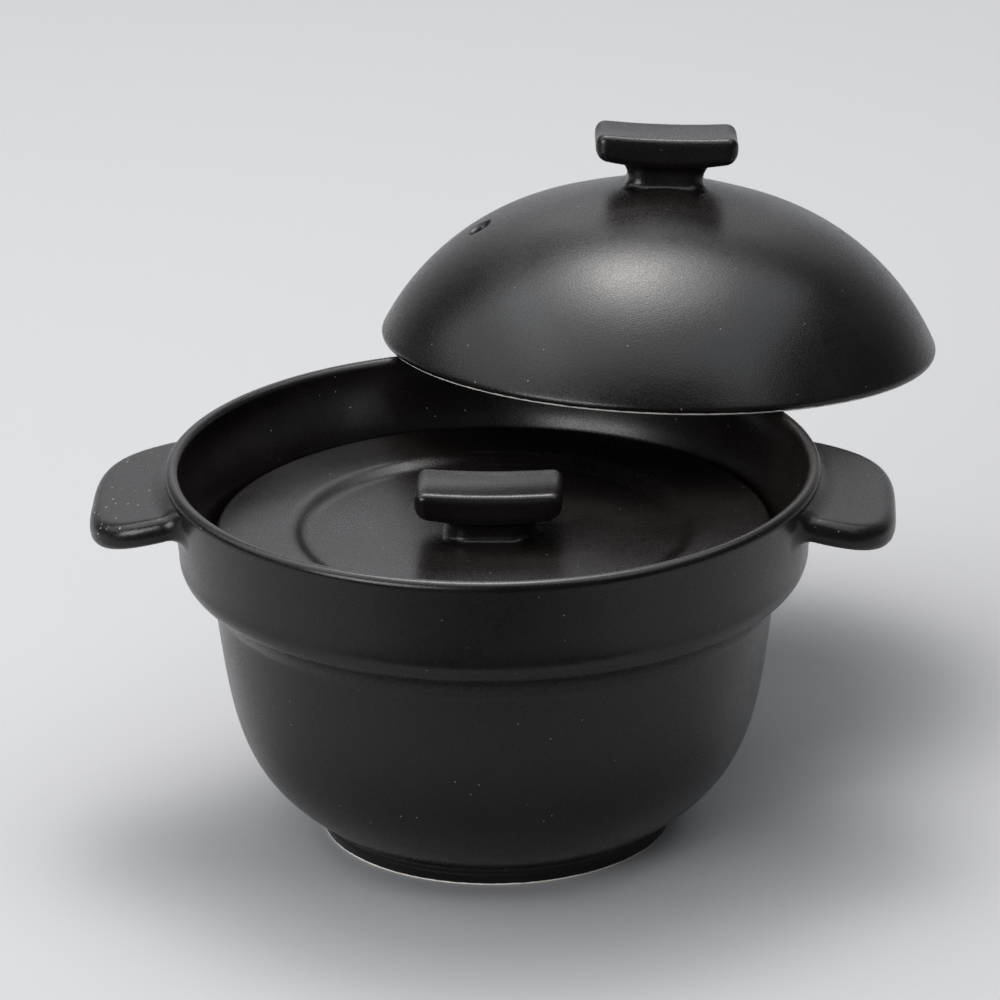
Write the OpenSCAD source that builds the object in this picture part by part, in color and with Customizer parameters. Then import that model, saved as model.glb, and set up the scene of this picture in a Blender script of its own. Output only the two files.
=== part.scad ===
// Ceramic rice pot with two lids: a collared pot with a lug on each side, a flat inner lid
// and a domed outer lid. Each of the three is one fired piece, its lugs or knob included.
// Millimetres, +Z up. The origin is the centre of the foot ring's lower face and the lugs
// lie along X. The outer lid is off the pot, resting across the back of the rim.

/* [Pot] */
// Diameter over the rounded rim
rim_d = 200; // [190:1:215]
// Height of the rim above the table
pot_h = 117.2; // [112:0.1:126]
// Radius of the rounded rim
rim_r = 2.2; // [1.6:0.1:2.8]
// Diameter of the collar just above its step
collar_d = 190; // [187:0.2:195]
// Height of the collar from its step up to the rim
collar_h = 35.4; // [32:0.1:38]
// Rounding of the collar's lower edge
step_r = 5.8; // [3:0.1:6.5]
// How far the collar stands out over the body at the step
step_out = 8.3; // [6.8:0.1:9.8]
// Radius towards which the belly swells low down
belly_r = 82; // [76:0.5:86]
// Height of that swelling
belly_z = 22; // [16:0.5:28]
// Radius through which the upper wall is drawn
flank_r = 81; // [78:0.1:84]
// Height of that point of the upper wall
flank_z = 40.4; // [34:0.2:50]
// Wall thickness of the body
wall = 6; // [4.5:0.1:7]
// Thickness of the floor above the foot recess
floor_t = 7.5; // [5:0.1:10]

/* [Foot ring] */
// Diameter of the foot ring where it stands
foot_d = 107.6; // [98:0.2:116]
// Height of the foot ring's side
foot_h = 5.2; // [4:0.1:7]
// How far the top of the ring flares outwards
foot_flare = 0.9; // [0.3:0.1:2]
// Height of the soft hollow between the ring and the belly
foot_hollow = 2.2; // [1:0.1:3]
// Width of the face that it stands on
foot_w = 6.5; // [4:0.1:10]
// Depth of the recess inside the ring
foot_recess = 4.5; // [2:0.1:6]

/* [Lid ledge] */
// Thickness of the ledge above the step
ledge_t = 7.5; // [5:0.1:10]
// Wall thickness of the collar at the ledge
collar_wall = 8; // [6.5:0.1:9]
// Radius of the hollow corner behind the ledge
ledge_r = 2.5; // [1:0.1:4]

/* [Lugs] */
// Length of the pot over both lugs
lug_span = 245.5; // [236:0.5:260]
// Width of a lug
lug_w = 69.5; // [56:0.5:78]
// Thickness of a lug
lug_t = 8.5; // [6:0.1:10]
// Drop from the rim to the middle of a lug where the lug leaves the rim's radius
lug_drop = 9.7; // [9:0.1:15]
// How steeply a lug falls outwards, in degrees
lug_fall = 13.5; // [0:0.5:24]
// Squareness of a lug's outline, 2 for an ellipse
lug_square = 3.5; // [2.2:0.1:5]
// Radius of the hollow where a lug meets the collar
lug_fillet = 3.5; // [1:0.1:5]

/* [Inner lid] */
// Play all round the inner lid
inner_play = 2; // [1:0.1:2.5]
// Thickness of the inner lid at its edge
inner_t = 6.9; // [5:0.1:9]
// Rounding of the inner lid's edge
inner_edge = 1.6; // [1:0.1:2.4]
// Diameter of the sunken middle
dish_d = 119; // [90:1:140]
// Depth of the sunken middle
dish_drop = 2.3; // [0.5:0.1:3]
// Width over which the surface steps down to it
dish_slope = 3; // [1.5:0.1:6]
// How far the knob sits from the middle of the inner lid
knob_shift = -1.2; // [-2:0.1:2]

/* [Outer lid] */
// Diameter of the outer lid
lid_d = 176.8; // [170:0.2:182]
// Height of the outer lid's dome under its knob
lid_h = 55.5; // [50:0.1:60]
// Slope of the dome under its knob, in degrees
crown_slope = 10.6; // [4:0.1:14]
// Radius of the dome's crown
crown_r = 302; // [220:1:400]
// Radius of the dome's shoulder
shoulder_r = 81.8; // [78:0.1:85]
// Rounding of the dome's lower edge
lid_edge = 2; // [1:0.1:2.4]
// Wall thickness of the dome
lid_wall = 5; // [4:0.1:6]
// Diameter of the steam hole
steam_d = 7; // [4:0.1:9]
// Distance of the steam hole from the dome's axis
steam_at = 58.4; // [40:0.2:66]
// Width of the softened edge round the steam hole
steam_soft = 1.5; // [0.5:0.1:2.5]

/* [Knobs] */
// Length of a knob's bar
bar_l = 45.2; // [38:0.2:54]
// Width of a knob's bar
bar_w = 24; // [18:0.2:28]
// Height of a knob over the lid at the middle of its bar
bar_h = 15.9; // [13:0.1:19]
// How much higher the bar's ends are than its middle
bar_sag = 0.9; // [0:0.1:2]
// Thickness of the bar at its ends
bar_t = 8.4; // [6:0.1:9]
// How much lower the bar's underside is at the neck
bar_belly = 2.6; // [0.5:0.1:3.4]
// Rounding of the bar's long edges
bar_r = 2.2; // [1.2:0.1:2.8]
// Rounding of the bar's two ends
bar_end = 3.2; // [1.2:0.1:5]
// Length of the neck under the bar
neck_l = 24; // [18:0.2:28]
// Width of the neck
neck_w = 19; // [14:0.2:21]
// Radius of the hollow between the neck and the lid
neck_fillet = 2; // [1:0.1:3]
// Radius of the hollow between the neck and the bar
neck_top = 3.2; // [1:0.1:3.5]

/* [Outer lid at rest] */
// Distance of the outer lid's middle from the pot's axis
lid_off = 128.7; // [110:0.1:150]
// Bearing of the outer lid from +X, in degrees
lid_bearing = 67.6; // [0:0.1:180]
// How far the outer lid leans down behind the rim, in degrees
lid_tilt = 6.1; // [0:0.1:12]
// Direction of the outer lid's knob, in degrees from X
lid_turn = 2; // [-90:1:90]

/* [Hidden] */
$fn = 180;
// clearance between pieces that rest on each other
seat_gap = 0.3;
// depth to which lugs and knobs run into the piece that they belong to
root = 2;
// rounding of the foot ring's edges, and how much its recess narrows upwards
foot_round = 0.9;
foot_draft = 2;
// angle at which the ring's rounded upper edge runs into the hollow
ring_turn = 68;
// height over which the wall's inside runs down into the floor
floor_soft = 1.5;
// rounding of the ledge's inner edge
ledge_round = 1;
// how far a lug stays full before its edge is rounded: a higher power is a fuller edge
lug_full = 16;
// distance between a lug's sections in the hollow at the collar, and their number beyond it
lug_step = 1.3;
lug_cuts = 12;
// points across a lug, and sections along a knob's bar and up its neck
across_n = 12;
bar_n = 24;
neck_n = 12;
// least height left at the bar's rounded ends
end_least = 0.4;
// rounding of the neck's corners
neck_r = 5;
// steps along an arc or a curve of an outline
steps = 12;
glaze = "#26262a";

rim_top = pot_h - rim_r;
rim_mid = rim_d / 2 - rim_r;
collar_r = collar_d / 2;
body_r = collar_r - step_out;
ledge_out = collar_r - collar_wall;
foot_r = foot_d / 2;
step_z = pot_h - collar_h;
floor_z = foot_recess + floor_t;
ledge_z = step_z + ledge_t;
inner_r = ledge_out - inner_play;
inner_z = ledge_z + seat_gap;
dish_z = inner_z + inner_t - dish_drop;
lug_z = pot_h - lug_drop;
// a lug starts inside the collar and its outline starts to narrow at the wall's middle
lug_start = sqrt(pow(collar_r, 2) - pow(lug_w / 2 + lug_fillet, 2)) - root;
lug_mid = rim_mid - 2 * rim_r;
lug_reach = lug_span / 2 - lug_mid;

// points of an arc about c from angle a to angle b
function arc(c, r, a, b, n = steps) =
    [for (i = [0:n]) let (t = a + (b - a) * i / n) c + r * [cos(t), sin(t)]];

// point of a cubic curve and the direction square to it, to its left
function cubic(p, t) =
    pow(1 - t, 3) * p[0] + 3 * pow(1 - t, 2) * t * p[1] + 3 * (1 - t) * t * t * p[2] + pow(t, 3) * p[3];
function heading(p, t) =
    pow(1 - t, 2) * (p[1] - p[0]) + 2 * (1 - t) * t * (p[2] - p[1]) + t * t * (p[3] - p[2]);
function left_of(v) = [-v[1], v[0]] / norm(v);
function curve(p, n = 2 * steps, off = 0) =
    [for (i = [0:n]) cubic(p, i / n) + off * left_of(heading(p, i / n))];
function backwards(p) = [for (i = [len(p) - 1:-1:0]) p[i]];

// where two circles meet, on the left of the line from the first to the second
function circles_meet(c, r, d, s) =
    let (gap = d - c, l = norm(gap), a = (l * l + r * r - s * s) / (2 * l), h = sqrt(r * r - a * a))
    c + a * gap / l + h * [-gap[1], gap[0]] / l;

// height that a hollow corner of radius r adds at distance d from the corner
function hollow(d, r) = d >= r ? 0 : r - sqrt(r * r - pow(r - max(d, 0), 2));

// closed solid through rings that have the same number of points, closed by a fan at each end
function middle(ring) = [for (r = ring) 1] * ring / len(ring);
module loft(rings) {
    n = len(rings[0]);
    m = len(rings);
    ends = [middle(rings[0]), middle(rings[m - 1])];
    sides = [for (k = [0:m - 2], i = [0:n - 1]) let (a = k * n, j = (i + 1) % n)
        each [[a + i, a + n + j, a + j], [a + i, a + n + i, a + n + j]]];
    fans = [for (i = [0:n - 1]) let (b = (m - 1) * n, j = (i + 1) % n)
        each [[m * n, i, j], [m * n + 1, b + j, b + i]]];
    polyhedron(concat([for (r = rings) each r], ends), concat(sides, fans));
}

// outline of a rectangle with rounded corners, anticlockwise, as [across, up] pairs
function round_rect(w, h, r, n = 4) =
    let (e = min(r, w / 2 - 0.01, h / 2 - 0.01))
    [for (q = [0:3]) let (c = [(q == 0 || q == 3 ? 1 : -1) * (w / 2 - e), (q < 2 ? 1 : -1) * (h / 2 - e)])
        each arc(c, e, 90 * q, 90 * q + 90, n)];

// outer wall of the body from the foot ring to the step
belly_low = [foot_r, foot_h + foot_hollow];
belly = [belly_low, [belly_r, belly_z], [flank_r, flank_z], [body_r, step_z]];
// soft hollow from the ring's rounded upper edge to the belly
ring_top = [foot_r + foot_flare - foot_round, foot_h - foot_round];
hollow_low = ring_top + foot_round * [cos(ring_turn), sin(ring_turn)];
foot_neck = [hollow_low, hollow_low + foot_hollow / 2 * [-sin(ring_turn), cos(ring_turn)],
    belly_low - foot_hollow / 2 * heading(belly, 0) / norm(heading(belly, 0)), belly_low];
// outer face of the collar, and its inner face from the ledge to the rim
face_low = step_z + step_r;
back_low = ledge_z + ledge_r;
collar_face = [[collar_r, face_low], [collar_r, face_low + (rim_top - face_low) / 4],
    [rim_mid, rim_top - (rim_top - face_low) / 3], [rim_mid + rim_r, rim_top]];
collar_back = [[ledge_out, back_low], [ledge_out, back_low + (rim_top - back_low) / 3],
    [rim_mid - rim_r, rim_top - (rim_top - back_low) / 3], [rim_mid - rim_r, rim_top]];

module pot_profile() {
    inside = [for (p = curve(belly, off = wall)) if (p[1] > floor_z + floor_soft && p[1] < step_z) p];
    ledge_in = body_r - wall + ledge_round;
    polygon(concat(
        [[0, foot_recess], [foot_r - foot_w - foot_draft, foot_recess], [foot_r - foot_w, 0]],
        arc([foot_r - foot_round, foot_round], foot_round, -90, 0, 4),
        arc(ring_top, foot_round, 0, ring_turn, 4),
        curve(foot_neck, 6),
        curve(belly),
        arc([collar_r - step_r, step_z + step_r], step_r, -90, 0),
        curve(collar_face, steps),
        arc([rim_mid, rim_top], rim_r, 0, 180),
        backwards(curve(collar_back, steps)),
        backwards(arc([ledge_out - ledge_r, ledge_z + ledge_r], ledge_r, -90, 0, 6)),
        arc([ledge_in, ledge_z - ledge_round], ledge_round, 90, 180, 6),
        backwards(inside),
        [[inside[0][0] - 2 * floor_soft, floor_z], [0, floor_z]]));
}

// a lug is a run of sections outwards from the collar. In plan it is a squared ellipse, its
// faces fall outwards, its edge is rounded, and it grows where it leaves the collar
module lug() {
    root_end = rim_mid + 2 * lug_fillet;
    along = concat([for (x = [lug_start:lug_step:root_end]) x],
        [for (i = [1:lug_cuts]) root_end + (lug_span / 2 - root_end) * sin(90 * i / lug_cuts)]);
    across = [for (i = [0:across_n]) sin(90 - 180 * i / across_n)];
    loft([for (x = along)
        let (
            out = max(x - lug_mid, 0) / lug_reach,
            wide = pow(max(1 - pow(out, lug_square), 0), 1 / lug_square),
            grow = hollow(norm([x, lug_w / 2 * wide]) - rim_mid, lug_fillet),
            mid = lug_z - tan(lug_fall) * (x - rim_mid),
            top = [for (v = across)
                let (
                    y = (lug_w / 2 * wide + grow) * v,
                    u = pow(pow(out, lug_square) + pow(abs(v) * wide, lug_square), 1 / lug_square),
                    half = lug_t / 2 * sqrt(max(1 - pow(u, lug_full), 0)))
                [y, half + hollow(norm([x, y]) - rim_mid, lug_fillet) * (1 - pow(abs(v), 2 * lug_full))]])
        concat([for (p = top) [x, p[0], mid + p[1]]],
            [for (i = [across_n - 1:-1:1]) [x, top[i][0], mid - top[i][1]]])]);
}

// the room in and over the collar, where a lug's root is cut away inside the wall
module collar_room() {
    back = curve(collar_back, steps, -root / 2);
    over = pot_h + lug_t;
    polygon(concat([[0, ledge_z], [back[0][0], ledge_z]], back, [[back[steps][0], over], [0, over]]));
}

module pot() {
    color(glaze) {
        rotate_extrude() pot_profile();
        difference() {
            for (turn = [0, 180]) rotate([0, 0, turn]) lug();
            rotate_extrude() collar_room();
        }
    }
}

// the bar is a run of rounded sections along X, drawn in at its ends
module knob_bar() {
    end = bar_l / 2;
    end_r = min(bar_end, (bar_t - end_least) / 2);
    at = [for (i = [0:bar_n]) end * sin(-90 + 180 * i / bar_n)];
    loft([for (x = at)
        let (
            inset = hollow(end - abs(x), end_r),
            high = bar_h + bar_sag * pow(x / end, 2),
            low = bar_h + bar_sag - bar_t - bar_belly * (1 - pow(x / end, 2)),
            ring = round_rect(bar_w - 2 * inset, high - low - 2 * inset, bar_r))
        [for (p = ring) [x, p[0], (high + low) / 2 + p[1]]]]);
}

// the neck widens in a hollow curve at the lid and again under the bar
module knob_neck(sunk) {
    top = bar_h + bar_sag - bar_t;
    under = top - bar_belly / 2;
    heights = concat([-sunk - root], [for (i = [0:neck_n]) -sunk + (under + sunk) * i / neck_n], [top]);
    loft([for (z = heights)
        let (grow = hollow(z + sunk, neck_fillet) + hollow(under - z, neck_top))
        [for (p = round_rect(neck_l + 2 * grow, neck_w + 2 * grow, neck_r + grow)) [p[0], p[1], z]]]);
}

// the neck of a knob on a sloping crown starts lower by what the crown falls under its foot
module knob(sunk = 0) {
    knob_bar();
    knob_neck(sunk);
}

module inner_lid_profile() {
    top = inner_z + inner_t;
    fall = [[(dish_d - dish_slope) / 2, dish_z], [dish_d / 2, dish_z], [dish_d / 2, top],
        [(dish_d + dish_slope) / 2, top]];
    polygon(concat(
        [[0, inner_z]],
        arc([inner_r - inner_edge, inner_z + inner_edge], inner_edge, -90, 0, 6),
        arc([inner_r - inner_edge, top - inner_edge], inner_edge, 0, 90, 6),
        backwards(curve(fall, 8)),
        [[0, dish_z]]));
}

module inner_lid() {
    color(glaze) {
        rotate_extrude() inner_lid_profile();
        translate([knob_shift, 0, dish_z]) knob();
    }
}

// the dome's crown and shoulder are arcs that run into each other, and the shoulder runs
// into the rounded lower edge
crown_at = [-crown_r * sin(crown_slope), lid_h - crown_r * cos(crown_slope)];
edge_at = [lid_d / 2 - lid_edge, lid_edge];
shoulder_at = circles_meet(crown_at, crown_r - shoulder_r, edge_at, shoulder_r - lid_edge);
blend = atan2(shoulder_at[1] - crown_at[1], shoulder_at[0] - crown_at[0]);
edge_turn = atan2(edge_at[1] - shoulder_at[1], edge_at[0] - shoulder_at[0]);
// radius of the dome's inside at its open face
mouth_r = shoulder_at[0] + sqrt(pow(shoulder_r - lid_wall, 2) - pow(shoulder_at[1], 2));

module lid_profile() {
    mouth_turn = atan2(-shoulder_at[1], mouth_r - shoulder_at[0]);
    inner_top = acos(-crown_at[0] / (crown_r - lid_wall));
    polygon(concat(
        arc(edge_at, lid_edge, -90, edge_turn, 6),
        arc(shoulder_at, shoulder_r, edge_turn, blend, 2 * steps),
        arc(crown_at, crown_r, blend, 90 - crown_slope, 8),
        arc(crown_at, crown_r - lid_wall, inner_top, blend, 8),
        arc(shoulder_at, shoulder_r - lid_wall, blend, mouth_turn, 2 * steps)));
}

// drilled square to the dome, with a softened edge outside
module steam_hole() {
    up = asin((steam_at - shoulder_at[0]) / shoulder_r);
    translate([-steam_at, 0, shoulder_at[1] + shoulder_r * cos(up)]) rotate([0, -up, 0]) {
        cylinder(h = 4 * lid_wall, d = steam_d, center = true);
        translate([0, 0, -steam_soft / 2])
            cylinder(h = steam_soft, d1 = steam_d, d2 = steam_d + 2 * steam_soft);
    }
}

module lid_shape() {
    difference() {
        rotate_extrude() lid_profile();
        steam_hole();
    }
    fall = tan(crown_slope);
    translate([0, 0, lid_h - fall * neck_w / 2]) knob(sunk = fall * neck_fillet);
}

// the lid's open face lies across the rim where the two rings cross
module outer_lid() {
    cross_at = (lid_off * lid_off + rim_mid * rim_mid - mouth_r * mouth_r) / (2 * lid_off);
    lid_z = pot_h + seat_gap - tan(lid_tilt) * (lid_off - cross_at);
    color(glaze)
        rotate([0, 0, lid_bearing])
            translate([lid_off, 0, lid_z])
                rotate([0, lid_tilt, 0])
                    rotate([0, 0, lid_turn - lid_bearing])
                        lid_shape();
}

pot();
inner_lid();
outer_lid();
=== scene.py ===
from math import acos, asin, atan2, copysign, cos, degrees, hypot, pi, radians, sin, sqrt, tan

import bmesh
import bpy
from mathutils import Matrix, Vector


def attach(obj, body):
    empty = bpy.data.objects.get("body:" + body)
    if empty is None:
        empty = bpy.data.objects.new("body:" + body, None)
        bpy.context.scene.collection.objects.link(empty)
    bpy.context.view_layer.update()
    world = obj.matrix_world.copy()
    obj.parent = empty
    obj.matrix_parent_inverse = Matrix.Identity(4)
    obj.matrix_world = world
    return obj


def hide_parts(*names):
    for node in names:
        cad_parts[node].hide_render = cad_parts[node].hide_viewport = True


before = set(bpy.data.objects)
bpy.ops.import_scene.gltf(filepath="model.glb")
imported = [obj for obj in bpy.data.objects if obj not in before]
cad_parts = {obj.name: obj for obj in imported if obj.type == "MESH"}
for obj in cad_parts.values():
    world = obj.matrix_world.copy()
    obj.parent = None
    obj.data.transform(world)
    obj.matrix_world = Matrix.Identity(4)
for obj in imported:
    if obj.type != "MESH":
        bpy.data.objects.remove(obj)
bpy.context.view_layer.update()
# sizes are in millimetres, near those of the solids, and turns in degrees
mm = 0.001


def nothingSelected():
    if bpy.context.object and bpy.context.object.mode != "OBJECT":
        bpy.ops.object.mode_set(mode="OBJECT")
    bpy.ops.object.select_all(action="DESELECT")


def arcPoints(centre, radius, start, end, count):
    return [(centre[0] + radius * cos(radians(start + (end - start) * i / count)),
             centre[1] + radius * sin(radians(start + (end - start) * i / count))) for i in range(count + 1)]


def cubicPoints(handles, count, offset=0.0):
    # points of a cubic curve, moved sideways by offset to its left
    points = []
    for i in range(count + 1):
        t = i / count
        s = 1 - t
        weights = (s ** 3, 3 * s * s * t, 3 * s * t * t, t ** 3)
        slopes = (-3 * s * s, 3 * s * s - 6 * s * t, 6 * s * t - 3 * t * t, 3 * t * t)
        x, z = (sum(w * h[k] for w, h in zip(weights, handles)) for k in (0, 1))
        dx, dz = (sum(w * h[k] for w, h in zip(slopes, handles)) for k in (0, 1))
        length = hypot(dx, dz) or 1.0
        points.append((x - offset * dz / length, z + offset * dx / length))
    return points


def circlesMeet(first, firstRadius, second, secondRadius):
    # crossing of two circles on the left of the line from the first to the second
    gap = (second[0] - first[0], second[1] - first[1])
    reach = hypot(*gap)
    along = (reach ** 2 + firstRadius ** 2 - secondRadius ** 2) / (2 * reach)
    across = sqrt(firstRadius ** 2 - along ** 2)
    return (first[0] + (along * gap[0] - across * gap[1]) / reach,
            first[1] + (along * gap[1] + across * gap[0]) / reach)


def hollow(distance, radius):
    # height that a hollow corner of this radius adds at a distance from the corner
    return 0.0 if distance >= radius else radius - sqrt(radius ** 2 - (radius - max(distance, 0.0)) ** 2)


def softCorner(distance, radius):
    # the same for a softer corner, which meets the other face at a slope and leaves no thin edge on it
    return 0.55 * radius * (1 - min(max(distance, 0.0), radius) / radius) ** 2


def drawOutline(name, outline):
    # one point drawn out along the outline, an edge at a time
    nothingSelected()
    bpy.ops.mesh.primitive_plane_add(size=mm)
    piece = bpy.context.object
    piece.name = name
    piece.data.name = name
    bpy.ops.object.mode_set(mode="EDIT")
    bpy.ops.mesh.select_mode(type="VERT")
    bpy.ops.mesh.merge(type="CENTER")
    last = (0.0, 0.0)
    for index, point in enumerate(outline):
        step = ((point[0] - last[0]) * mm, 0, (point[1] - last[1]) * mm)
        if index == 0:
            bpy.ops.transform.translate(value=step)
        else:
            bpy.ops.mesh.extrude_region_move(TRANSFORM_OT_translate={"value": step})
        last = point
    return piece


def fillOutline():
    bpy.ops.mesh.select_all(action="SELECT")
    bpy.ops.mesh.edge_face_add()
    bpy.ops.mesh.select_all(action="SELECT")


def faceOutwards():
    bpy.ops.mesh.select_all(action="SELECT")
    bpy.ops.mesh.normals_make_consistent(inside=False)


def turnPiece(name, outline, segments):
    # one outline turned on the wheel
    piece = drawOutline(name, outline)
    bpy.ops.mesh.select_all(action="SELECT")
    bpy.ops.mesh.spin(steps=segments, angle=2 * pi, center=(0, 0, 0), axis=(0, 0, 1))
    bpy.ops.mesh.select_all(action="SELECT")
    bpy.ops.mesh.remove_doubles(threshold=0.004 * mm)
    bpy.ops.mesh.normals_make_consistent(inside=False)
    bpy.ops.object.mode_set(mode="OBJECT")
    piece.select_set(True)
    bpy.ops.object.shade_smooth_by_angle(angle=radians(42))
    return piece


def pickEdges(piece, wanted):
    # in edit mode: selects the edges that pass the test, and nothing else
    bpy.ops.mesh.select_mode(type="EDGE")
    bpy.ops.mesh.select_all(action="DESELECT")
    shape = bmesh.from_edit_mesh(piece.data)
    for edge in shape.edges:
        if wanted(edge):
            edge.select_set(True)
    shape.select_flush_mode()
    bmesh.update_edit_mesh(piece.data)


def middle(edge):
    return (edge.verts[0].co + edge.verts[1].co) / 2 / mm


def applied(piece, kind, **settings):
    modifier = piece.modifiers.new(kind.title(), kind)
    for key, value in settings.items():
        setattr(modifier, key, value)
    nothingSelected()
    bpy.context.view_layer.objects.active = piece
    piece.select_set(True)
    bpy.ops.object.modifier_apply(modifier=modifier.name)


def joined(name, *parts):
    nothingSelected()
    for part in parts:
        part.select_set(True)
    bpy.context.view_layer.objects.active = parts[0]
    bpy.ops.object.join()
    parts[0].name = name
    parts[0].data.name = name
    return parts[0]


def fused(name, grain, softening, *parts):
    # parts that run into each other become one skin with soft hollows between them
    whole = joined(name, *parts)
    applied(whole, "REMESH", mode="VOXEL", voxel_size=grain * mm, adaptivity=0)
    applied(whole, "SMOOTH", factor=0.5, iterations=softening)
    nothingSelected()
    whole.select_set(True)
    bpy.context.view_layer.objects.active = whole
    bpy.ops.object.shade_smooth()
    return whole


def softened(piece, weightAt, rounds):
    # only the places with a weight are smoothed further
    group = piece.vertex_groups.new(name="soft")
    for vert in piece.data.vertices:
        weight = weightAt(vert.co / mm)
        if weight > 0:
            group.add([vert.index], weight, "REPLACE")
    applied(piece, "SMOOTH", factor=0.5, iterations=rounds, vertex_group=group.name)
    piece.vertex_groups.clear()
    return piece


def fading(value, full, gone):
    # 1 up to full, 0 from gone on
    return min(max((gone - value) / (gone - full), 0.0), 1.0)


def settled(piece):
    # the object goes to the origin, unturned, with its place in its mesh
    nothingSelected()
    piece.select_set(True)
    bpy.context.view_layer.objects.active = piece
    bpy.ops.object.transform_apply(location=True, rotation=True, scale=True)


# the pot: one turned outline, with a lug fused to each side of its collar
potSizes = {
    "rimRadius": 97.8, "rimRound": 2.2, "rimTop": 115.0, "rimTurn": -12,
    "collarRadius": 96.2, "stepHeight": 81.4, "stepRound": 8.4, "stepTurn": -60,
    "bodyRadius": 86.7, "bellyRadius": 82.0, "bellyHeight": 22.0, "flankRadius": 81.0, "flankHeight": 40.4,
    "wall": 6.0, "floorHeight": 12.0, "floorRound": 9.0, "floorHandles": (24, 9, (3.5, 5)),
    "footRadius": 53.8, "footHeight": 4.5, "bellyFoot": 5.2, "footFlare": 0.7, "footRound": 1.1,
    "footWidth": 6.5, "ringTurn": 12, "standRound": 0.4, "standBack": 0.7, "footHandles": (1.0, 1.5),
    "stepHandles": (1.6, 2.4), "recess": 4.5, "recessDraft": 2.0, "recessRound": 1.5,
    "ledgeHeight": 89.3, "ledgeRadius": 87.0, "ledgeRound": 2.5, "ledgeLip": 1.0, "segments": 256,
}
lugSizes = {
    "span": 245.5, "width": 69.5, "thickness": 8.5, "middleHeight": 107.5, "fall": 13.5,
    "square": 3.5, "squareFrom": 93.4, "edge": 3.5, "rootRadius": 92.6, "rootHollow": 3.8,
    "rootDepth": 2.4, "rootTop": 114.7, "cutFrom": 86, "lengthCut": 0.7, "widthCut": 1.7,
    "patchHeights": (90, 114.6), "patchDepths": (0.06, 2.6), "patchTurn": 58,
    "grain": 0.74, "softening": 6, "rootSoftening": 70, "rootFade": (2.5, 6.0),
}


def collarFace(inset=0.0):
    p = potSizes
    low = p["stepHeight"] + p["stepRound"]
    high = p["rimTop"]
    turn = radians(p["rimTurn"])
    end = Vector((p["rimRadius"] + p["rimRound"] * cos(turn), high + p["rimRound"] * sin(turn)))
    handles = [(p["collarRadius"], low), (p["collarRadius"], low + (high - low) / 6),
               end - (high - low) / 5 * Vector((-sin(turn), cos(turn))), end]
    return cubicPoints(handles, 22, inset)


def collarRadiusAt(height):
    face = collarFace()
    for low, high in zip(face, face[1:]):
        if low[1] <= height <= high[1]:
            return low[0] + (high[0] - low[0]) * (height - low[1]) / (high[1] - low[1])
    return face[0][0] if height < face[0][1] else face[-1][0]


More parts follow.
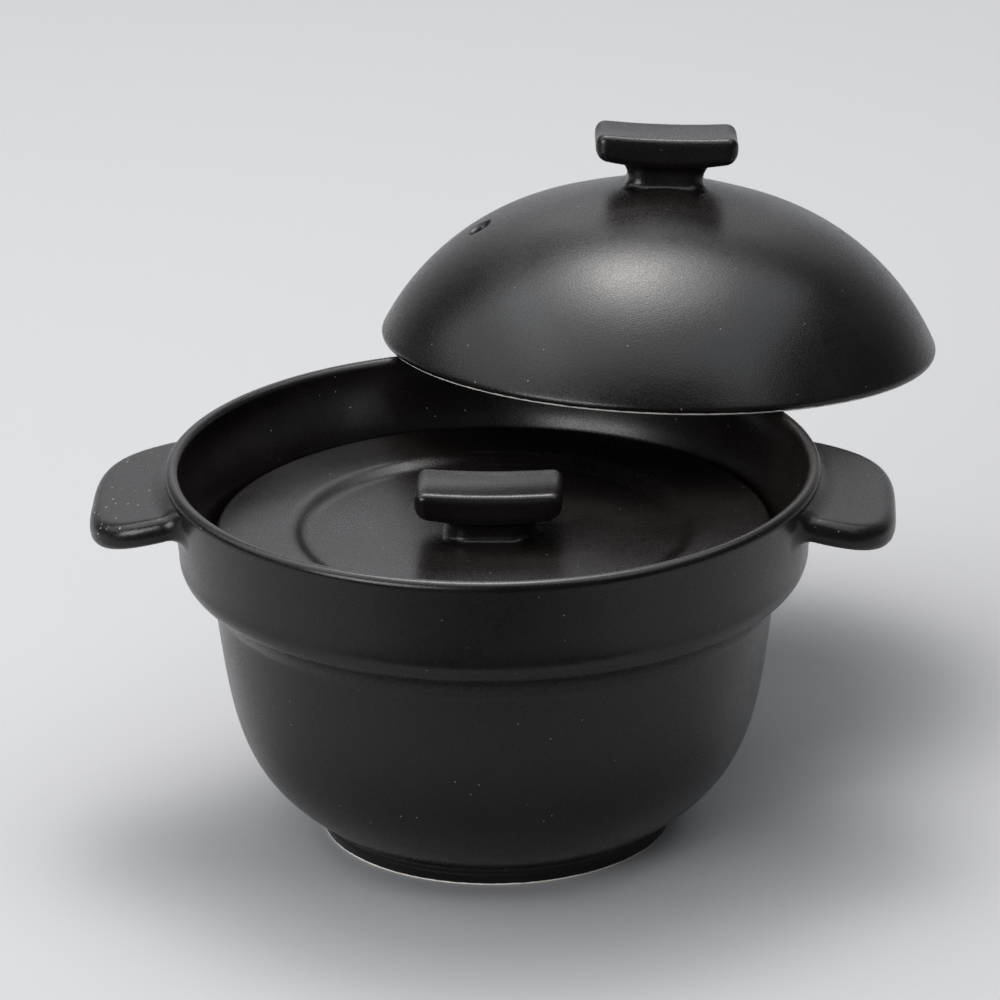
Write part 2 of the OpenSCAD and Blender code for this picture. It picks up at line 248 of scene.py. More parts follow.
def potOutline():
    p = potSizes
    bellyLow = (p["footRadius"], p["bellyFoot"])
    belly = [bellyLow, (p["bellyRadius"], p["bellyHeight"]),
             (p["flankRadius"], p["flankHeight"]), (p["bodyRadius"], p["stepHeight"])]
    # soft hollows lead from the foot ring to the belly and from the belly to the collar's round
    ringTop = (p["footRadius"] + p["footFlare"] - p["footRound"], p["footHeight"] - p["footRound"])
    ringEnd = Vector(arcPoints(ringTop, p["footRound"], 0, p["ringTurn"], 1)[1])
    ringWay = Vector((-sin(radians(p["ringTurn"])), cos(radians(p["ringTurn"]))))
    bellyPoints = [Vector(q) for q in cubicPoints(belly, 56)]
    hollowEnd = bellyPoints[2]
    footHollow = [ringEnd, ringEnd + p["footHandles"][0] * ringWay,
                  hollowEnd - p["footHandles"][1] * (bellyPoints[3] - hollowEnd).normalized(), hollowEnd]
    stepArc = arcPoints((p["collarRadius"] - p["stepRound"], p["stepHeight"] + p["stepRound"]),
                        p["stepRound"], p["stepTurn"], 0, 14)
    stepStart = Vector(stepArc[0])
    stepWay = Vector((-sin(radians(p["stepTurn"])), cos(radians(p["stepTurn"]))))
    bellyEnd = bellyPoints[-4]
    stepHollow = [bellyEnd, bellyEnd + p["stepHandles"][0] * (bellyPoints[-3] - bellyEnd).normalized(),
                  stepStart - p["stepHandles"][1] * stepWay, stepStart]
    inside = [q for q in cubicPoints(belly, 30, p["wall"])
              if p["floorHeight"] + p["floorRound"] < q[1] < p["stepHeight"]]
    backLow = p["ledgeHeight"] + p["ledgeRound"]
    third = (p["rimTop"] - backLow) / 3
    back = cubicPoints([(p["ledgeRadius"], backLow), (p["ledgeRadius"], backLow + third),
                        (p["rimRadius"] - p["rimRound"], p["rimTop"] - third),
                        (p["rimRadius"] - p["rimRound"], p["rimTop"])], 12)
    start = inside[0]
    centre, side, corner = p["floorHandles"]
    floor = cubicPoints([(start[0] - centre, p["floorHeight"]), (start[0] - side, p["floorHeight"]),
                         (start[0] - corner[0], start[1] - corner[1]), start], 12)
    ledgeIn = p["bodyRadius"] - p["wall"] + p["ledgeLip"]
    ringIn = p["footRadius"] - p["footWidth"]
    recessRound, standBack, standRound = p["recessRound"], p["standBack"], p["standRound"]
    return ([(0, p["recess"]), (30, p["recess"])]
            + arcPoints((ringIn - p["recessDraft"] - recessRound, p["recess"] - recessRound),
                        recessRound, 90, 12, 5)
            + arcPoints((ringIn + standBack, standBack), standBack, 192, 270, 5)
            + arcPoints((p["footRadius"] - standRound, standRound), standRound, -90, -10, 5)
            + arcPoints(ringTop, p["footRound"], -10, p["ringTurn"], 5)
            + cubicPoints(footHollow, 10)[1:] + bellyPoints[3:-3] + cubicPoints(stepHollow, 12)[1:-1]
            + stepArc + collarFace()[1:]
            + arcPoints((p["rimRadius"], p["rimTop"]), p["rimRound"], p["rimTurn"], 180, 20)[1:]
            + back[::-1][1:]
            + arcPoints((p["ledgeRadius"] - p["ledgeRound"], backLow), p["ledgeRound"], 0, -90, 8)[1:]
            + arcPoints((ledgeIn, p["ledgeHeight"] - p["ledgeLip"]), p["ledgeLip"], 90, 180, 6)
            + inside[::-1] + floor[::-1][1:] + [(0, p["floorHeight"])])


def wallPatch(side):
    # a thin piece of the collar's wall, a hair under its face, for the lug to grow from
    s = lugSizes
    low, high = s["patchHeights"]
    face, back = ([q for q in collarFace(depth) if low < q[1] < high] for depth in s["patchDepths"])
    patch = drawOutline("collarPatch", face + back[::-1])
    fillOutline()
    bpy.ops.transform.rotate(value=-radians(s["patchTurn"] / 2 + side), orient_axis="Z",
                             center_override=(0, 0, 0))
    bpy.ops.mesh.spin(steps=36, angle=radians(s["patchTurn"]), center=(0, 0, 0), axis=(0, 0, 1))
    faceOutwards()
    bpy.ops.object.mode_set(mode="OBJECT")
    return patch


def lugPlan():
    # a squared ellipse at the tip, straight sides, and a root that follows the collar inside its wall
    s = lugSizes
    half, reach, power = s["width"] / 2, s["span"] / 2 - s["squareFrom"], 2 / s["square"]
    outline = []
    for i in range(-24, 25):
        turn = radians(90 * i / 24)
        outline.append((s["squareFrom"] + reach * max(cos(turn), 0) ** power,
                        half * copysign(abs(sin(turn)) ** power, turn)))
    spread = degrees(asin(half / s["rootRadius"]))
    return outline + arcPoints((0, 0), s["rootRadius"], spread, -spread, 16)


def makeLug(side):
    s = lugSizes
    half = s["width"] / 2
    lug = drawOutline("lug", lugPlan())
    fillOutline()
    bpy.ops.transform.rotate(value=pi / 2, orient_axis="X", center_override=(0, 0, 0))
    bpy.ops.transform.translate(value=(0, 0, (s["middleHeight"] - s["thickness"] / 2) * mm))
    bpy.ops.mesh.extrude_region_move(TRANSFORM_OT_translate={"value": (0, 0, s["thickness"] * mm)})
    faceOutwards()
    # the level edges are rounded, all but those inside the wall
    pickEdges(lug, lambda e: abs(e.verts[0].co.z - e.verts[1].co.z) < 0.1 * mm
              and (hypot(middle(e).x, middle(e).y) > s["rootRadius"] + 0.6 or abs(middle(e).y) > half - 0.05))
    bpy.ops.mesh.bevel(offset=s["edge"] * mm, segments=5, profile=0.5, affect="EDGES")
    for cut in range(26):
        bpy.ops.mesh.select_all(action="SELECT")
        bpy.ops.mesh.bisect(plane_co=((s["cutFrom"] + cut * s["lengthCut"]) * mm, 0, 0), plane_no=(1, 0, 0))
    for cut in range(-20, 21):
        bpy.ops.mesh.select_all(action="SELECT")
        bpy.ops.mesh.bisect(plane_co=(0, cut * s["widthCut"] * mm, 0), plane_no=(0, 1, 0))
    # every point sinks as it lies further out, swells into the hollow at the collar, and stays in the wall
    shape = bmesh.from_edit_mesh(lug.data)
    shape.normal_update()
    slope = tan(radians(s["fall"]))
    for vert in shape.verts:
        x, y, z = vert.co / mm
        z -= slope * (x - potSizes["rimRadius"])
        swell = softCorner(hypot(x, y) - collarRadiusAt(z), s["rootHollow"])
        way = Vector((vert.normal.y, vert.normal.z))
        if way.length > 0.2:
            way.normalize()
            y += swell * way.x
            z += swell * way.y
        z = min(z, s["rootTop"]) if swell > 1.5 else z
        inside = (collarRadiusAt(z) - s["rootDepth"]) / hypot(x, y)
        if inside > 1:
            x *= inside
            y *= inside
        vert.co = Vector((x, y, z)) * mm
    bmesh.update_edit_mesh(lug.data)
    if side == 180:
        bpy.ops.mesh.select_all(action="SELECT")
        bpy.ops.transform.rotate(value=pi, orient_axis="Z", center_override=(0, 0, 0))
    bpy.ops.object.mode_set(mode="OBJECT")
    lug = fused("lug%d" % side, s["grain"], s["softening"], lug, wallPatch(side))
    # the root alone is smoothed further, fading out over the next millimetres of the lug
    return softened(lug, lambda at: fading(hypot(at.x, at.y) - collarRadiusAt(at.z), *s["rootFade"]),
                    s["rootSoftening"])


print("pot")
body = turnPiece("potPiece", potOutline(), potSizes["segments"])
pot = joined("potPiece", body, makeLug(0), makeLug(180))
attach(pot, "root")
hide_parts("pot")


# a knob: a bar of rounded sections drawn along X, on a neck that flares into the lid and the bar
knobSizes = {
    "length": 45.2, "width": 24.0, "height": 15.9, "sag": 0.9, "endThickness": 8.4, "belly": 2.6, "dish": 1.1,
    "edge": 2.1, "end": 3.4, "neckLength": 24.0, "neckWidth": 19.0, "neckCorner": 5.0, "lowFlare": 2.0,
    "highFlare": (4.4, 2.6), "neckRoot": 2.4, "neckTip": 1.6,
    "groundRadius": 21, "groundDepth": 0.1, "groundSegments": 72,
    "grain": 0.38, "softening": 7, "neckSoftening": 30,
}


def knobSection():
    k = knobSizes
    half, tall, r = k["width"] / 2, k["endThickness"] / 2, k["edge"]
    across = [(half - r) * (1 - i / 4) for i in range(1, 8)]
    return (arcPoints((half - r, tall - r), r, 0, 90, 5)
            + [(y, tall - k["dish"] * (1 - (y / (half - r)) ** 2)) for y in across]
            + arcPoints((r - half, tall - r), r, 90, 180, 5)
            + arcPoints((r - half, r - tall), r, 180, 270, 5)
            + arcPoints((half - r, r - tall), r, 270, 360, 5))


def knobBar(base):
    k = knobSizes
    half = k["length"] / 2

    def station(x):
        share = (x / half) ** 2
        inset = hollow(half - abs(x), k["end"])
        high = base + k["height"] + k["sag"] * share
        low = base + k["height"] + k["sag"] - k["endThickness"] - k["belly"] * (1 - share)
        return (x, (high + low) / 2, 1 - 2 * inset / k["width"], (high - low - 2 * inset) / k["endThickness"])

    stations = [station(half * sin(radians(-90 + 6 * i))) for i in range(31)]
    bar = drawOutline("knob", knobSection())
    fillOutline()
    bpy.ops.transform.rotate(value=pi / 2, orient_axis="Z", center_override=(0, 0, 0))
    x, z, wide, tall = stations[0]
    bpy.ops.transform.resize(value=(1, wide, tall), center_override=(0, 0, 0))
    bpy.ops.transform.translate(value=(x * mm, 0, z * mm))
    for before, after in zip(stations, stations[1:]):
        bpy.ops.mesh.extrude_region_move(TRANSFORM_OT_translate={
            "value": ((after[0] - before[0]) * mm, 0, (after[1] - before[1]) * mm)})
        bpy.ops.transform.resize(value=(1, after[2] / before[2], after[3] / before[3]),
                                 center_override=(after[0] * mm, 0, after[1] * mm))
    faceOutwards()
    bpy.ops.object.mode_set(mode="OBJECT")
    return bar


def knobUnderside(base):
    k = knobSizes
    return base + k["height"] + k["sag"] - k["endThickness"] - k["belly"] / 2


def knobNeck(base, groundAt):
    k = knobSizes
    long, wide, corner = k["neckLength"] / 2, k["neckWidth"] / 2, k["neckCorner"]
    under = knobUnderside(base)
    outline = []
    for turn, (sx, sy) in ((0, (1, 1)), (90, (-1, 1)), (180, (-1, -1)), (270, (1, -1))):
        outline += arcPoints((sx * (long - corner), sy * (wide - corner)), corner, turn, turn + 90, 7)
    neck = drawOutline("neck", outline)
    fillOutline()
    bpy.ops.transform.rotate(value=pi / 2, orient_axis="X", center_override=(0, 0, 0))
    heights = ([base - k["neckRoot"]] + [base + (under - base) * i / 16 for i in range(17)]
               + [under + k["neckTip"]])
    lastHeight, lastSize = 0.0, (long, wide)
    for height in heights:
        size = [reach + hollow(height - base, k["lowFlare"]) + softCorner(under - height, flare)
                for reach, flare in zip((long, wide), k["highFlare"])]
        if lastHeight:
            rise = (0, 0, (height - lastHeight) * mm)
            bpy.ops.mesh.extrude_region_move(TRANSFORM_OT_translate={"value": rise})
        else:
            bpy.ops.transform.translate(value=(0, 0, height * mm))
        bpy.ops.transform.resize(value=(size[0] / lastSize[0], size[1] / lastSize[1], 1),
                                 center_override=(0, 0, height * mm))
        lastHeight, lastSize = height, size
    faceOutwards()
    # the foot of the neck follows the lid under it
    shape = bmesh.from_edit_mesh(neck.data)
    for vert in shape.verts:
        share = min(max((vert.co.z / mm - base) / (under - base), 0), 1)
        vert.co.z += (groundAt(hypot(vert.co.x, vert.co.y) / mm) - base) * (1 - share) * mm
    bmesh.update_edit_mesh(neck.data)
    bpy.ops.object.mode_set(mode="OBJECT")
    return neck


def makeKnob(base, groundAt, ground):
    k = knobSizes
    knob = fused("knob", k["grain"], k["softening"], knobBar(base), knobNeck(base, groundAt), ground)
    under = knobUnderside(base)

    # the neck alone is smoothed further, up into the bar's underside
    def weightAt(at):
        if at.z < groundAt(hypot(at.x, at.y)) - 1:
            return 0
        return min(fading(at.z, under + 0.4, under + 2.2), fading(abs(at.x), 16, 19))

    return softened(knob, weightAt, k["neckSoftening"])


# the inner lid: a flat plate with a sunken middle
innerLidSizes = {
    "radius": 85.0, "base": 89.6, "thickness": 6.9, "edge": 1.6,
    "dishRadius": 59.5, "dishDrop": 2.3, "dishSlope": 4.6, "knobShift": -1.2, "knobRoot": 2.6,
    "seatRadius": 78.0, "segments": 240,
}


def innerLidOutline():
    s = innerLidSizes
    top = s["base"] + s["thickness"]
    dish = top - s["dishDrop"]
    fall = cubicPoints([(s["dishRadius"] - s["dishSlope"], dish), (s["dishRadius"] + 0.3, dish),
                        (s["dishRadius"] - 0.3, top), (s["dishRadius"] + s["dishSlope"], top)], 16)
    return ([(0, s["base"]), (40, s["base"])]
            + arcPoints((s["radius"] - s["edge"], s["base"] + s["edge"]), s["edge"], -90, 0, 8)
            + arcPoints((s["radius"] - s["edge"], top - s["edge"]), s["edge"], 0, 90, 8)
            + [(s["radius"] - 9, top)] + fall[::-1] + [(30, dish), (18, dish), (0, dish)])


print("inner lid")
dishHeight = innerLidSizes["base"] + innerLidSizes["thickness"] - innerLidSizes["dishDrop"]
groundLow, groundHigh = dishHeight - innerLidSizes["knobRoot"], dishHeight - knobSizes["groundDepth"]
groundRadius = knobSizes["groundRadius"]
flatGround = turnPiece("lidPatch", [(0, groundLow), (groundRadius, groundLow),
                                    (groundRadius, groundHigh), (0, groundHigh)], knobSizes["groundSegments"])
innerKnob = makeKnob(dishHeight, lambda radius: dishHeight, flatGround)
innerKnob.location.x = innerLidSizes["knobShift"] * mm
settled(innerKnob)
plate = turnPiece("innerLidPiece", innerLidOutline(), innerLidSizes["segments"])
innerLid = joined("innerLidPiece", plate, innerKnob)
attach(innerLid, "root")
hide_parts("inner_lid")


# the outer lid is made level at the origin and then laid across the rim
outerLidSizes = {
    "radius": 88.4, "height": 55.5, "crownSlope": 10.6, "crownRadius": 302.0, "shoulderRadius": 81.8,
    "edge": 2.0, "wall": 5.0, "segments": 256,
    "offset": 128.7, "bearing": 67.6, "tilt": 6.1, "turn": 2.0, "seatGap": 0.3,
    "steamRadius": 3.5, "steamAt": 58.4, "steamLip": 1.9, "mouthRound": 0.7, "knobRoot": 2.8,
}
print("outer lid")
lidForm = dict(outerLidSizes)
lidForm["crownAt"] = (-lidForm["crownRadius"] * sin(radians(lidForm["crownSlope"])),
                      lidForm["height"] - lidForm["crownRadius"] * cos(radians(lidForm["crownSlope"])))
lidForm["edgeAt"] = (lidForm["radius"] - lidForm["edge"], lidForm["edge"])
lidForm["shoulderAt"] = circlesMeet(lidForm["crownAt"], lidForm["crownRadius"] - lidForm["shoulderRadius"],
                                    lidForm["edgeAt"], lidForm["shoulderRadius"] - lidForm["edge"])
lidForm["mouth"] = lidForm["shoulderAt"][0] + sqrt(
    (lidForm["shoulderRadius"] - lidForm["wall"]) ** 2 - lidForm["shoulderAt"][1] ** 2)


def crownHeight(radius, lower=0.0):
    reach = lidForm["crownRadius"] - lower
    return lidForm["crownAt"][1] + sqrt(reach ** 2 - (radius - lidForm["crownAt"][0]) ** 2)


def outerLidOutline():
    f = lidForm
    crown, shoulder, edge = f["crownAt"], f["shoulderAt"], f["edgeAt"]
    blend = degrees(atan2(shoulder[1] - crown[1], shoulder[0] - crown[0]))
    edgeTurn = degrees(atan2(edge[1] - shoulder[1], edge[0] - shoulder[0]))
    innerShoulder = f["shoulderRadius"] - f["wall"]
    innerTop = degrees(acos(-crown[0] / (f["crownRadius"] - f["wall"])))
    mouthTurn = degrees(atan2(0.8 - shoulder[1], f["mouth"] - shoulder[0]))
    return (arcPoints((f["mouth"] + 0.75, f["mouthRound"]), f["mouthRound"], 190, 270, 5)
            + arcPoints(edge, f["edge"], -90, edgeTurn, 9)
            + arcPoints(shoulder, f["shoulderRadius"], edgeTurn, blend, 52)[1:]
            + arcPoints(crown, f["crownRadius"], blend, 90 - f["crownSlope"], 20)[1:]
            + arcPoints(crown, f["crownRadius"] - f["wall"], innerTop, blend, 16)
            + arcPoints(shoulder, innerShoulder, blend, mouthTurn, 40)[1:])


def steamCutter():
    # drilled square to the dome, widening in a soft lip at the outside and a little at the inside
    f = lidForm
    lean = asin((f["steamAt"] - f["shoulderAt"][0]) / f["shoulderRadius"])
    lip, bore = f["steamLip"], f["steamRadius"]
    outline = ([(0, -9), (bore + 1.0, -9), (bore + 1.0, -f["wall"] - 0.1), (bore + 0.35, -f["wall"] + 0.5),
                (bore, -f["wall"] + 1.2)]
               + arcPoints((bore + lip, -lip), lip, 180, 96, 10)
               + [(bore + lip + 0.6, 0.35), (bore + lip + 0.8, 3), (0, 3)])
    cutter = turnPiece("steamCutter", outline, 64)
    cutter.rotation_euler = (0, -lean, 0)
    cutter.location = (-f["steamAt"] * mm, 0, (f["shoulderAt"][1] + f["shoulderRadius"] * cos(lean)) * mm)
    settled(cutter)
    return cutter


dome = turnPiece("outerLidPiece", outerLidOutline() + outerLidOutline()[:1], lidForm["segments"])
cutter = steamCutter()
applied(dome, "BOOLEAN", operation="DIFFERENCE", solver="EXACT", object=cutter)
bpy.data.objects.remove(cutter)
nothingSelected()
dome.select_set(True)
bpy.context.view_layer.objects.active = dome
bpy.ops.object.shade_smooth_by_angle(angle=radians(42))
sunkBase = lidForm["height"] - tan(radians(lidForm["crownSlope"])) * knobSizes["neckWidth"] / 2
radii = range(0, groundRadius + 1, 3)
groundOutline = ([(r, crownHeight(r, lidForm["knobRoot"])) for r in radii]
                 + [(r, crownHeight(r, knobSizes["groundDepth"])) for r in radii[::-1]])
crownGround = turnPiece("lidPatch", groundOutline, knobSizes["groundSegments"])
outerKnob = makeKnob(sunkBase, crownHeight, crownGround)
outerLid = joined("outerLidPiece", dome, outerKnob)
# the lid leans on the rim where the two rings cross
offset = lidForm["offset"]
crossAt = (offset ** 2 + potSizes["rimRadius"] ** 2 - lidForm["mouth"] ** 2) / (2 * offset)
lidHeight = (potSizes["rimTop"] + potSizes["rimRound"] + lidForm["seatGap"]
             - tan(radians(lidForm["tilt"])) * (offset - crossAt))
lidPlace = (Matrix.Rotation(radians(lidForm["bearing"]), 4, "Z")
            @ Matrix.Translation((offset * mm, 0, lidHeight * mm))
            @ Matrix.Rotation(radians(lidForm["tilt"]), 4, "Y")
            @ Matrix.Rotation(radians(lidForm["turn"] - lidForm["bearing"]), 4, "Z"))
outerLid.matrix_world = lidPlace
settled(outerLid)
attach(outerLid, "root")
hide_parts("outer_lid")


# finishes: small helpers first, then the two effects that the three pieces share
def addSocket(group, name, direction, kind, value=None):
    socket = group.interface.new_socket(name=name, in_out=direction, socket_type="NodeSocket" + kind)
    if value is not None:
        socket.default_value = value


def addNode(tree, kind, **settings):
    made = tree.nodes.new(kind)
    for key, value in settings.items():
        setattr(made, key, value)
    return made


def mathNode(tree, operation, first, second, clamp=False):
    made = addNode(tree, "ShaderNodeMath", operation=operation, use_clamp=clamp)
    for index, value in enumerate((first, second)):
        if isinstance(value, (int, float)):
            made.inputs[index].default_value = value
        elif value is not None:
            tree.links.new(value, made.inputs[index])
    return made.outputs[0]


def rangeNode(tree, value, low, high, toLow=0.0, toHigh=1.0, smooth=True):
    made = addNode(tree, "ShaderNodeMapRange", interpolation_type="SMOOTHSTEP" if smooth else "LINEAR")
    tree.links.new(value, made.inputs["Value"])
    for name, level in (("From Min", low), ("From Max", high), ("To Min", toLow), ("To Max", toHigh)):
        if isinstance(level, (int, float)):
            made.inputs[name].default_value = level
        else:
            tree.links.new(level, made.inputs[name])
    return made.outputs["Result"]


def noiseNode(tree, vector, scale, detail=2.0, roughness=0.5):
    made = addNode(tree, "ShaderNodeTexNoise")
    tree.links.new(vector, made.inputs["Vector"])
    for name, level in (("Scale", scale), ("Detail", detail), ("Roughness", roughness)):
        if isinstance(level, (int, float)):
            made.inputs[name].default_value = level
        else:
            tree.links.new(level, made.inputs[name])
    return made.outputs["Fac"]


def mixColor(tree, factor, first, second):
    made = addNode(tree, "ShaderNodeMix", data_type="RGBA")
    tree.links.new(factor, made.inputs[0])
    for index, value in ((6, first), (7, second)):
        if isinstance(value, (tuple, list)):
            made.inputs[index].default_value = value
        else:
            tree.links.new(value, made.inputs[index])
    return made.outputs[2]


def buildGlazeGroup():
    # fine grain, slow cloudiness and scattered pale specks of a matt glaze
    group = bpy.data.node_groups.new("mattGlaze", "ShaderNodeTree")
    addSocket(group, "Vector", "INPUT", "Vector")
    addSocket(group, "Glaze", "INPUT", "Color", (0.004, 0.003, 0.003, 1))
    addSocket(group, "Deep Glaze", "INPUT", "Color", (0.003, 0.002, 0.002, 1))
    addSocket(group, "Speck", "INPUT", "Color", (0.2, 0.19, 0.18, 1))
    addSocket(group, "Grain Scale", "INPUT", "Float", 2600.0)
    addSocket(group, "Speck Scale", "INPUT", "Float", 420.0)
    addSocket(group, "Speck Size", "INPUT", "Float", 0.09)
    addSocket(group, "Speck Share", "INPUT", "Float", 0.07)
    addSocket(group, "Roughness", "INPUT", "Float", 0.34)
    addSocket(group, "Color", "OUTPUT", "Color")
    addSocket(group, "Roughness", "OUTPUT", "Float")
    addSocket(group, "Height", "OUTPUT", "Float")
    inputs = addNode(group, "NodeGroupInput").outputs
    outputs = addNode(group, "NodeGroupOutput").inputs
    link = group.links.new
    place = inputs["Vector"]
    cloud = noiseNode(group, place, 34.0, 4.0, 0.6)
    grain = noiseNode(group, place, inputs["Grain Scale"], 2.0, 0.55)
    ripple = noiseNode(group, place, 160.0, 2.0, 0.5)
    cells = addNode(group, "ShaderNodeTexVoronoi", feature="F1")
    link(place, cells.inputs["Vector"])
    link(inputs["Speck Scale"], cells.inputs["Scale"])
    # only some cells hold a speck
    lot = addNode(group, "ShaderNodeSeparateColor")
    link(cells.outputs["Color"], lot.inputs["Color"])
    drift = mathNode(group, "MULTIPLY", inputs["Speck Share"], rangeNode(group, cloud, 0.35, 0.7, 0.3, 2.0))
    chosen = mathNode(group, "LESS_THAN", lot.outputs["Red"], drift)
    spot = rangeNode(group, cells.outputs["Distance"], inputs["Speck Size"], 0.02)
    specks = mathNode(group, "MULTIPLY", chosen, spot)
    shade = mixColor(group, rangeNode(group, cloud, 0.3, 0.75), inputs["Deep Glaze"], inputs["Glaze"])
    link(mixColor(group, specks, shade, inputs["Speck"]), outputs["Color"])
    rough = mathNode(group, "ADD", inputs["Roughness"], rangeNode(group, cloud, 0.3, 0.7, -0.03, 0.04))
    rough = mathNode(group, "ADD", rough, rangeNode(group, grain, 0.3, 0.7, -0.055, 0.075))
    link(mathNode(group, "ADD", rough, mathNode(group, "MULTIPLY", specks, 0.2), True), outputs["Roughness"])
    height = mathNode(group, "ADD", mathNode(group, "MULTIPLY", grain, 0.5),
                      mathNode(group, "MULTIPLY", ripple, 0.3))
    height = mathNode(group, "ADD", height, mathNode(group, "MULTIPLY", specks, 0.2))
    link(height, outputs["Height"])
    return group


clayLook = {
    "clay": (0.82, 0.79, 0.74, 1), "sand": (0.55, 0.49, 0.42, 1), "sandScale": 1400.0, "stainScale": 90.0,
    "roughness": 0.85, "relief": 0.6,
}


def buildClayGroup():
    # bare fired clay: pale, dry, with fine sand in it
    group = bpy.data.node_groups.new("bareClay", "ShaderNodeTree")
    addSocket(group, "Vector", "INPUT", "Vector")
    addSocket(group, "Clay", "INPUT", "Color", clayLook["clay"])
    addSocket(group, "Sand", "INPUT", "Color", clayLook["sand"])
    addSocket(group, "Color", "OUTPUT", "Color")
    addSocket(group, "Height", "OUTPUT", "Float")
    inputs = addNode(group, "NodeGroupInput").outputs
    outputs = addNode(group, "NodeGroupOutput").inputs
    sand = noiseNode(group, inputs["Vector"], clayLook["sandScale"], 3.0, 0.6)
    stain = noiseNode(group, inputs["Vector"], clayLook["stainScale"], 3.0, 0.55)
    tint = mathNode(group, "MULTIPLY", rangeNode(group, sand, 0.5, 0.75),
                    rangeNode(group, stain, 0.3, 0.7, 0.3, 1.0))
    group.links.new(mixColor(group, tint, inputs["Clay"], inputs["Sand"]), outputs["Color"])
    group.links.new(sand, outputs["Height"])
    return group


glazeGroup = buildGlazeGroup()
clayGroup = buildClayGroup()


def glazedClay(name, look, bareMask, speckAndGlintMask=None):
    # one fired piece: matt black glaze, bare clay where the mask says
    material = bpy.data.materials.new(name)
    material.use_nodes = True
    tree = material.node_tree
    tree.nodes.clear()
    link = tree.links.new
    place = addNode(tree, "ShaderNodeTexCoord").outputs["Object"]
    glaze = addNode(tree, "ShaderNodeGroup", node_tree=glazeGroup)
    clay = addNode(tree, "ShaderNodeGroup", node_tree=clayGroup)
    for group in (glaze, clay):
        link(place, group.inputs["Vector"])
    for socket, value in look.items():
        if socket in glaze.inputs:
            glaze.inputs[socket].default_value = value
    if speckAndGlintMask:
        # where the mask is high, more specks show, and larger ones; on the pot's left lug these are partly
        # painted glints
        share = speckAndGlintMask(tree, place)
        link(share, glaze.inputs["Speck Share"])
        growth = mathNode(tree, "MULTIPLY", share, look["SpeckGrowth"])
        link(mathNode(tree, "ADD", growth, look["Speck Size"]), glaze.inputs["Speck Size"])
    bare = bareMask(tree, place)
    surface = addNode(tree, "ShaderNodeBsdfPrincipled")
    link(mixColor(tree, bare, glaze.outputs["Color"], clay.outputs["Color"]), surface.inputs["Base Color"])
    link(rangeNode(tree, bare, 0, 1, glaze.outputs["Roughness"], clayLook["roughness"], False),
         surface.inputs["Roughness"])
    surface.inputs["IOR"].default_value = look["IOR"]
    bump = addNode(tree, "ShaderNodeBump")
    bump.inputs["Strength"].default_value = look["Bump"]
    bump.inputs["Distance"].default_value = look["BumpDepth"]
    sandRelief = mathNode(tree, "MULTIPLY", bare, clay.outputs["Height"])
    sandRelief = mathNode(tree, "MULTIPLY", sandRelief, clayLook["relief"])
    link(mathNode(tree, "ADD", glaze.outputs["Height"], sandRelief), bump.inputs["Height"])
    link(bump.outputs["Normal"], surface.inputs["Normal"])
    output = addNode(tree, "ShaderNodeOutputMaterial")
    link(surface.outputs["BSDF"], output.inputs["Surface"])
    return material


def partsOf(tree, place):
    parts = addNode(tree, "ShaderNodeSeparateXYZ")
    tree.links.new(place, parts.inputs["Vector"])
    return parts.outputs


def leftLugSpecksAndGlints(tree, place):
    # the left lug's top gets more and larger pale specks than the rest of the pot: partly real specks, partly
    # painted glints where that lug catches the light
    return rangeNode(tree, partsOf(tree, place)["X"], -98 * mm, -110 * mm, 0.05, 0.75)


def wavyLimit(tree, place, height, wave, glazed, bare):
    # 1 below a glaze line that wanders up and down a little
    edge = noiseNode(tree, place, 260.0, 2.0, 0.5)
    return rangeNode(tree, mathNode(tree, "ADD", height, mathNode(tree, "MULTIPLY", edge, -wave * mm)),
                     glazed * mm, bare * mm)


def bareFoot(tree, place):
    # the ring's standing face and the first half millimetre of its sides
    return wavyLimit(tree, place, partsOf(tree, place)["Z"], wave=0.5, glazed=0.4, bare=0.2)


def bareLidEdge(tree, place):
    # the dome's standing edge, found in the lid's own level frame
    level = addNode(tree, "ShaderNodeMapping", vector_type="TEXTURE")
    level.inputs["Location"].default_value = lidPlace.to_translation()
    level.inputs["Rotation"].default_value = lidPlace.to_euler("XYZ")
    tree.links.new(place, level.inputs["Vector"])
    return wavyLimit(tree, place, partsOf(tree, level.outputs["Vector"])["Z"], wave=0.6, glazed=0.6, bare=0.4)


def bareSeat(tree, place):
    # the inner lid's lower face, near its edge, where it stood in the kiln
    s = innerLidSizes
    parts = partsOf(tree, place)
    low = rangeNode(tree, parts["Z"], (s["base"] + 0.6) * mm, (s["base"] + 0.3) * mm)
    squares = mathNode(tree, "ADD", mathNode(tree, "MULTIPLY", parts["X"], parts["X"]),
                       mathNode(tree, "MULTIPLY", parts["Y"], parts["Y"]))
    out = rangeNode(tree, mathNode(tree, "SQRT", squares, None),
                    (s["seatRadius"] - 0.5) * mm, (s["seatRadius"] + 0.5) * mm)
    return mathNode(tree, "MULTIPLY", low, out)


# the dome's glaze is a little coarser than the others'
glazeLook = {
    "Glaze": (0.0046, 0.0034, 0.0031, 1), "Deep Glaze": (0.0028, 0.0020, 0.0018, 1), "Grain Scale": 2500.0,
    "Speck": (0.30, 0.29, 0.28, 1), "Speck Scale": 420.0, "Speck Size": 0.11, "SpeckGrowth": 0.12,
    "Roughness": 0.27, "IOR": 1.39, "Bump": 1.0, "BumpDepth": 0.00004,
}
domeLook = glazeLook | {"Grain Scale": 2000.0, "BumpDepth": 0.00012}
print("finishes")
for piece, name, look, masks in ((pot, "potGlaze", glazeLook, (bareFoot, leftLugSpecksAndGlints)),
                                 (innerLid, "innerLidGlaze", glazeLook, (bareSeat,)),
                                 (outerLid, "outerLidGlaze", domeLook, (bareLidEdge,))):
    piece.data.materials.clear()
    piece.data.materials.append(glazedClay(name, look, *masks))


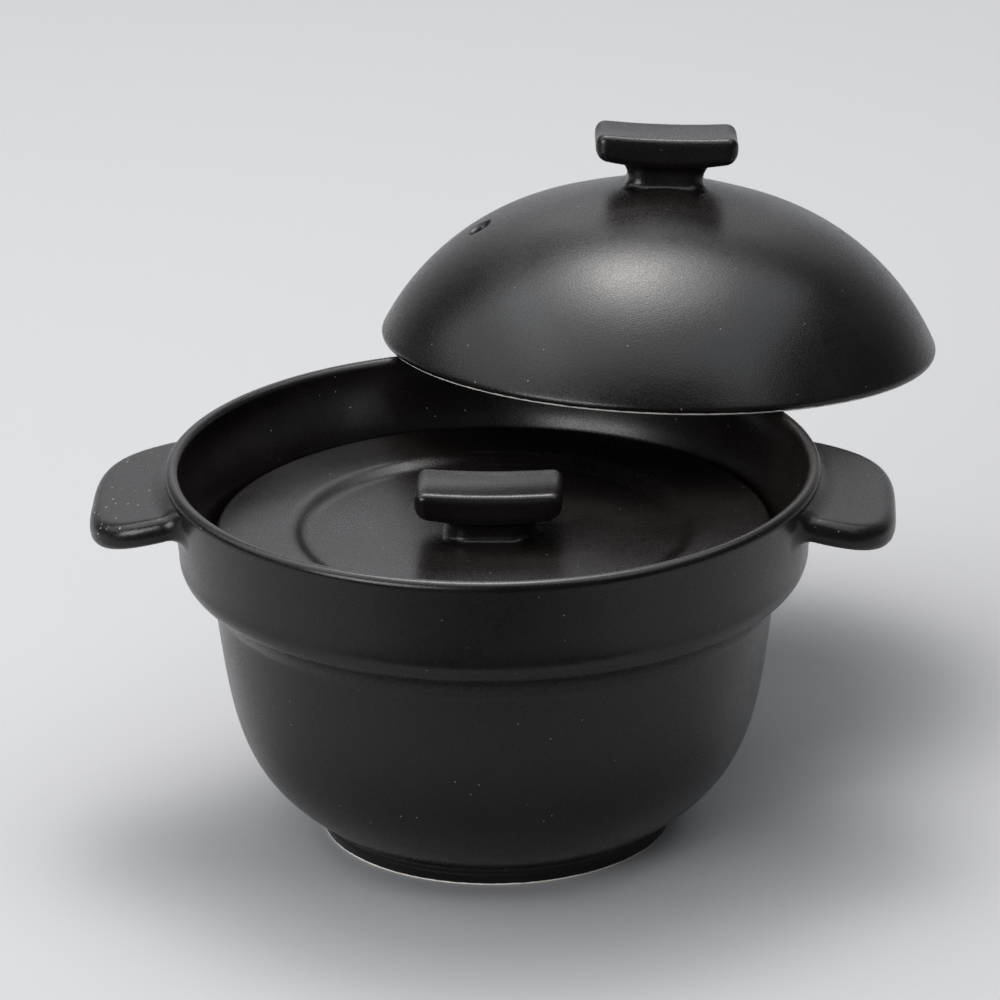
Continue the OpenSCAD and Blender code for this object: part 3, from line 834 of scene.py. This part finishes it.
# studio: a pale table that sweeps up into a backdrop, and soft lamps
studio = {
    "paper": (0.315, 0.313, 0.316, 1), "paperRoughness": 0.9,
    "reach": 6.0, "front": -0.20, "back": 2.2, "sweep": 0.8, "height": 3.0,
}
print("studio")


def paperSweep():
    s = studio
    outline = [(s["front"], 0.0), (s["back"], 0.0)]
    outline += [(s["back"] + s["sweep"] * sin(radians(a)), s["sweep"] * (1 - cos(radians(a))))
                for a in range(6, 91, 6)]
    outline.append((s["back"] + s["sweep"], s["height"]))
    nothingSelected()
    bpy.ops.mesh.primitive_plane_add(size=mm)
    paper = bpy.context.object
    paper.name = "paperSweep"
    bpy.ops.object.mode_set(mode="EDIT")
    bpy.ops.mesh.select_mode(type="VERT")
    bpy.ops.mesh.merge(type="CENTER")
    bpy.ops.transform.translate(value=(-s["reach"] / 2, outline[0][0], outline[0][1]))
    for before, after in zip(outline, outline[1:]):
        bpy.ops.mesh.extrude_region_move(TRANSFORM_OT_translate={
            "value": (0, after[0] - before[0], after[1] - before[1])})
    bpy.ops.mesh.select_all(action="SELECT")
    bpy.ops.mesh.extrude_region_move(TRANSFORM_OT_translate={"value": (s["reach"], 0, 0)})
    bpy.ops.mesh.select_all(action="SELECT")
    bpy.ops.mesh.normals_make_consistent(inside=True)
    bpy.ops.object.mode_set(mode="OBJECT")
    bpy.ops.object.shade_smooth()
    return paper


paper = paperSweep()
paperLook = bpy.data.materials.new("paper")
paperLook.use_nodes = True
paperSurface = paperLook.node_tree.nodes["Principled BSDF"]
paperSurface.inputs["Base Color"].default_value = studio["paper"]
paperSurface.inputs["Roughness"].default_value = studio["paperRoughness"]
paper.data.materials.append(paperLook)


# each lamp: its place, what it points at, its width and depth, its power, its tint and its shape
potMiddle = (0, 0, 0.1)
lamps = {
    "overheadLamp": ((-0.10, 0.50, 1.65), potMiddle, (0.55, 0.55), 8.2, (1.0, 0.965, 0.94), "DISK"),
    "overheadGlow": ((-0.08, 0.46, 1.70), potMiddle, (1.3, 1.3), 20.5, (1.0, 0.98, 0.965), "DISK"),
    "ceilingLeft": ((-0.8, 0.1, 2.4), (-0.8, 0.1, 0), (2.6, 3.2), 53, (0.93, 0.965, 1.0), "RECTANGLE"),
    "ceilingRight": ((1.3, 0.1, 2.4), (1.3, 0.1, 0), (1.6, 3.2), 33, (0.91, 0.955, 1.0), "RECTANGLE"),
    "highLeftPanel": ((-1.48, 0.13, 1.44), potMiddle, (1.8, 1.4), 14, (0.94, 0.97, 1.0), "RECTANGLE"),
    "lowLeftPanel": ((-1.05, -1.24, 0.58), potMiddle, (1.1, 0.85), 24, (0.97, 0.985, 1.0), "RECTANGLE"),
    "rightPanel": ((1.02, -0.84, 1.12), potMiddle, (0.6, 0.5), 1.1, (0.97, 0.985, 1.0), "RECTANGLE"),
    "backdropLamp": ((-0.2, 1.75, 2.3), (-0.1, 3.0, 1.9), (2.0, 0.5), 115, (0.95, 0.975, 1.0), "RECTANGLE"),
}
airColor, airStrength = (0.92, 0.96, 1.0, 1), 0.11


def softLamp(name, place, target, size, power, tint, shape):
    light = bpy.data.lights.new(name, "AREA")
    light.shape = shape
    light.size, light.size_y = size
    light.energy = power
    light.color = tint
    lamp = bpy.data.objects.new(name, light)
    bpy.context.scene.collection.objects.link(lamp)
    lamp.location = place
    lamp.rotation_euler = (Vector(target) - Vector(place)).to_track_quat("-Z", "Y").to_euler()


for name, lamp in lamps.items():
    softLamp(name, *lamp)
world = bpy.data.worlds.new("studioAir")
bpy.context.scene.world = world
world.use_nodes = True
air = world.node_tree.nodes["Background"].inputs
air["Color"].default_value = airColor
air["Strength"].default_value = airStrength

# camera at the photograph's place and angle
view = {
    "place": (0.078111, -2.13021, 0.938841), "right": (0.99945, 0.03137, -0.01098),
    "up": (-0.00122, 0.36463, 0.93115), "ahead": (-0.03322, 0.93062, -0.36446), "lens": 270, "sensor": 36,
}
cameraData = bpy.data.cameras.new("camera")
cameraData.lens = view["lens"]
cameraData.sensor_width = view["sensor"]
cameraData.clip_end = 50
camera = bpy.data.objects.new("camera", cameraData)
bpy.context.scene.collection.objects.link(camera)
axes = (view["right"], view["up"], -Vector(view["ahead"]))
camera.matrix_world = Matrix.Translation(view["place"]) @ Matrix(axes).transposed().to_4x4()
bpy.context.scene.camera = camera
bpy.context.scene.view_settings.view_transform = "Standard"

for piece in (pot, innerLid, outerLid):
    piece.data.calc_loop_triangles()
    print(piece.name, len(piece.data.loop_triangles), "triangles")
